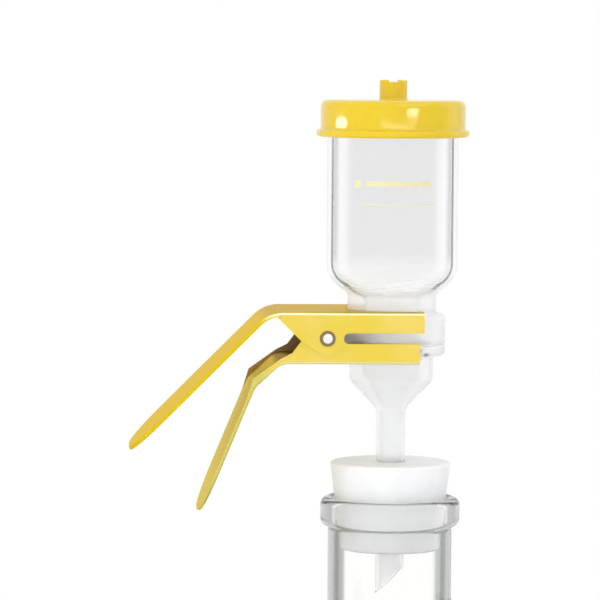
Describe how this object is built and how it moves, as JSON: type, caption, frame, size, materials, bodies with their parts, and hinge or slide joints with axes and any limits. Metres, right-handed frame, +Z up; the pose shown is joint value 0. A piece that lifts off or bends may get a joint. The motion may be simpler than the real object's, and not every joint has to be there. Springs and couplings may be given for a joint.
{
  "type": "vacuum filtration unit",
  "caption": "Glass vacuum filter unit: lidded funnel clamped to a fritted base on a stopper in a side-arm flask; the sprung clamp opens and each part lifts off.",
  "frame": {"origin": "centre of the flask's flat underside, on the bench", "axes": "+Z up the glass axis, +X along the flask's side arm, -X towards the clamp's handles"},
  "size_m": [0.1419, 0.085, 0.2887],
  "materials": {
    "flask_glass": "clear blown borosilicate glass",
    "clear_glass": "clear fire-polished borosilicate glass",
    "sintered_glass": "rough white sintered glass",
    "silicone": "translucent white silicone, satin",
    "membrane": "matt white membrane",
    "yellow_moulding": "glossy yellow moulding",
    "gold_sheet": "gold anodised sheet, satin",
    "steel": "plain steel"
  },
  "bodies": {
    "flask": {"flask": "flask_glass"},
    "unit": {"stopper": "silicone", "base": "clear_glass", "support_disc": "sintered_glass", "membrane_filter": "membrane", "funnel": "clear_glass"},
    "lid": {"lid": "yellow_moulding"},
    "clamp_lower": {"clamp_lower": "gold_sheet", "pivot_rivet": "steel", "clamp_spring": "steel"},
    "clamp_upper": {"clamp_upper": "gold_sheet"}
  },
  "joints": [
    {"name": "unit_lift", "type": "slide", "parent": "flask", "child": "unit", "axis": [0, 0, 1], "range_m": [0, 0.06]},
    {"name": "lid_lift", "type": "slide", "parent": "unit", "child": "lid", "axis": [0, 0, 1], "range_m": [0, 0.045]},
    {"name": "clamp_slide", "type": "slide", "parent": "unit", "child": "clamp_lower", "axis": [-1, 0, 0], "range_m": [0, 0.06]},
    {"name": "clamp_squeeze", "type": "hinge", "parent": "clamp_lower", "child": "clamp_upper", "pos_m": [-0.0216, 0, 0.20735], "axis": [0, -1, 0], "range_deg": [0, 10], "stiffness_Nm_per_rad": 0.4, "springref_deg": -34.38, "deforming": ["clamp_spring"]}
  ]
}
